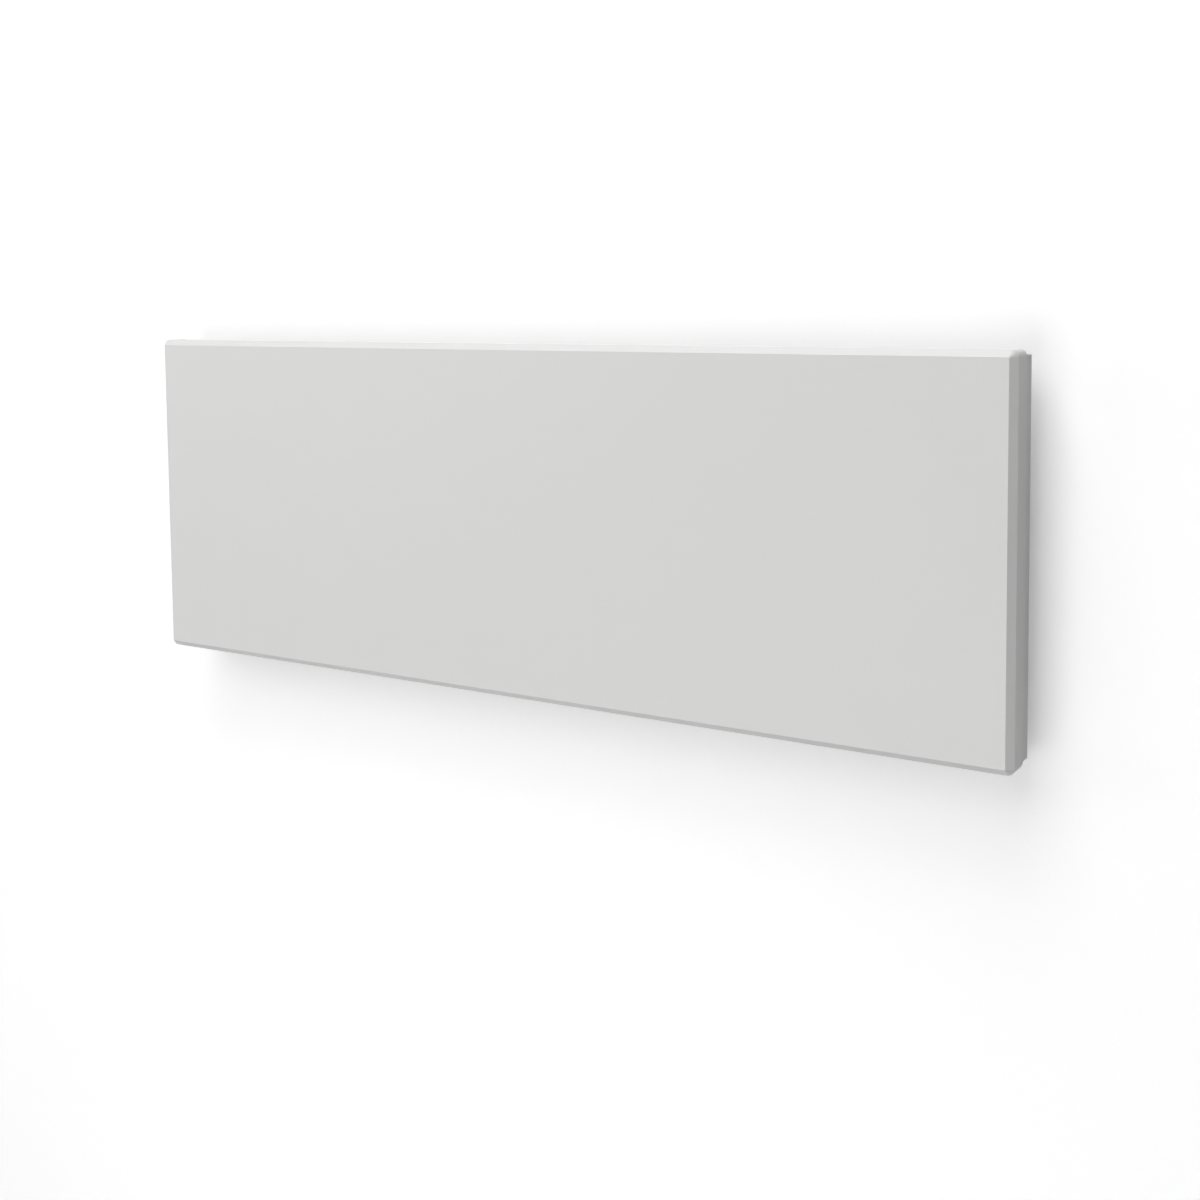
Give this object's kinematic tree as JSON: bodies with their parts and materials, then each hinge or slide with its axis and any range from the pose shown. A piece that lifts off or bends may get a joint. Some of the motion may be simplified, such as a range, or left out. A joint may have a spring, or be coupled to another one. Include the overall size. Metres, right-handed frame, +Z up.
{
  "type": "wall panel convector heater",
  "caption": "Low, wide wall-hung panel convector: plain folded steel cover over a nested casing, sunk outlet grille and control deck, finned element inside, tipping forward on a wall bracket.",
  "frame": {"origin": "centre of the wall bracket's screw pattern, on the wall plane, at the panel's mid height", "axes": "+X to the heater's right seen from the front, the front faces -Y, +Z up; the wall is y = 0"},
  "size_m": [1.12, 0.08, 0.4016],
  "materials": {
    "cover_paint": "fine powder coat",
    "casing_paint": "powder coat",
    "grille_paint": "fine powder coat",
    "galvanised_steel": "zinc plated",
    "spring_steel": "tempered strip",
    "fastener_steel": "zinc plated",
    "element_aluminium": "extruded",
    "shield_aluminium": "mill finish",
    "bush_ceramic": "unglazed",
    "deck_plastic": "fine grain",
    "window_plastic": "polished, smoked",
    "button_plastic": "satin",
    "black_plastic": "fine grain",
    "ferrite": "sintered",
    "board_laminate": "solder mask",
    "clip_plastic": "moulded",
    "black_rubber": "moulded",
    "brown_lead": "silicone sleeve",
    "blue_lead": "silicone sleeve",
    "grey_lead": "silicone sleeve"
  },
  "bodies": {
    "wall_bracket": {"bracket_rail_left": "galvanised_steel", "bracket_rail_right": "galvanised_steel", "upper_bar": "galvanised_steel", "lower_bar": "galvanised_steel", "bar_rivets": "fastener_steel", "catch_left": "spring_steel", "catch_right": "spring_steel", "catch_rivets": "fastener_steel", "buffer_left": "black_rubber", "buffer_right": "black_rubber"},
    "heater": {"front_cover": "cover_paint", "rear_casing": "casing_paint", "outlet_grille": "grille_paint", "pivot_ears_left": "galvanised_steel", "pivot_ears_right": "galvanised_steel", "element_support_left": "galvanised_steel", "element_support_right": "galvanised_steel", "cover_screws": "fastener_steel", "grille_screws": "fastener_steel", "housing_screws": "fastener_steel", "support_screws": "fastener_steel", "shield_rivets": "fastener_steel", "ear_rivets": "fastener_steel", "pivot_pins": "fastener_steel", "earth_stud": "fastener_steel", "element_terminals": "fastener_steel", "heating_element": "element_aluminium", "rear_heat_shield": "shield_aluminium", "front_heat_shield": "shield_aluminium", "element_bushes": "bush_ceramic", "control_deck": "deck_plastic", "control_housing": "deck_plastic", "display_window": "window_plastic", "rocker_bezel": "black_plastic", "display_module": "black_plastic", "relay": "black_plastic", "thermal_cutout": "black_plastic", "tact_switches": "black_plastic", "filter_choke": "ferrite", "circuit_board": "board_laminate", "cover_clips": "clip_plastic", "lead_clips": "clip_plastic", "sensor_clip": "clip_plastic", "terminal_block": "clip_plastic", "cord_grommet": "black_rubber", "live_lead": "brown_lead", "neutral_lead": "blue_lead", "supply_leads": "blue_lead", "sensor_lead": "grey_lead", "air_sensor": "grey_lead"},
    "rocker_switch": {"rocker": "black_plastic"},
    "power_button_cap": {"power_button": "button_plastic"},
    "minus_button_cap": {"minus_button": "button_plastic"},
    "plus_button_cap": {"plus_button": "button_plastic"},
    "mode_button_cap": {"mode_button": "button_plastic"}
  },
  "joints": [
    {"name": "tilt", "type": "hinge", "parent": "wall_bracket", "child": "heater", "pos_m": [0, -0.014, -0.15], "axis": [1, 0, 0], "range_deg": [0, 20], "deforming": ["catch_left", "catch_right"]},
    {"name": "rocker_tip", "type": "hinge", "parent": "heater", "child": "rocker_switch", "pos_m": [0.5303, -0.0467, 0.19285], "axis": [0, -1, 0], "range_deg": [0, 16]},
    {"name": "power_button_press", "type": "slide", "parent": "heater", "child": "power_button_cap", "axis": [0, 0, -1], "range_m": [0, 0.0008], "stiffness_N_per_m": 1000},
    {"name": "minus_button_press", "type": "slide", "parent": "heater", "child": "minus_button_cap", "axis": [0, 0, -1], "range_m": [0, 0.0008], "stiffness_N_per_m": 1000},
    {"name": "plus_button_press", "type": "slide", "parent": "heater", "child": "plus_button_cap", "axis": [0, 0, -1], "range_m": [0, 0.0008], "stiffness_N_per_m": 1000},
    {"name": "mode_button_press", "type": "slide", "parent": "heater", "child": "mode_button_cap", "axis": [0, 0, -1], "range_m": [0, 0.0008], "stiffness_N_per_m": 1000}
  ]
}
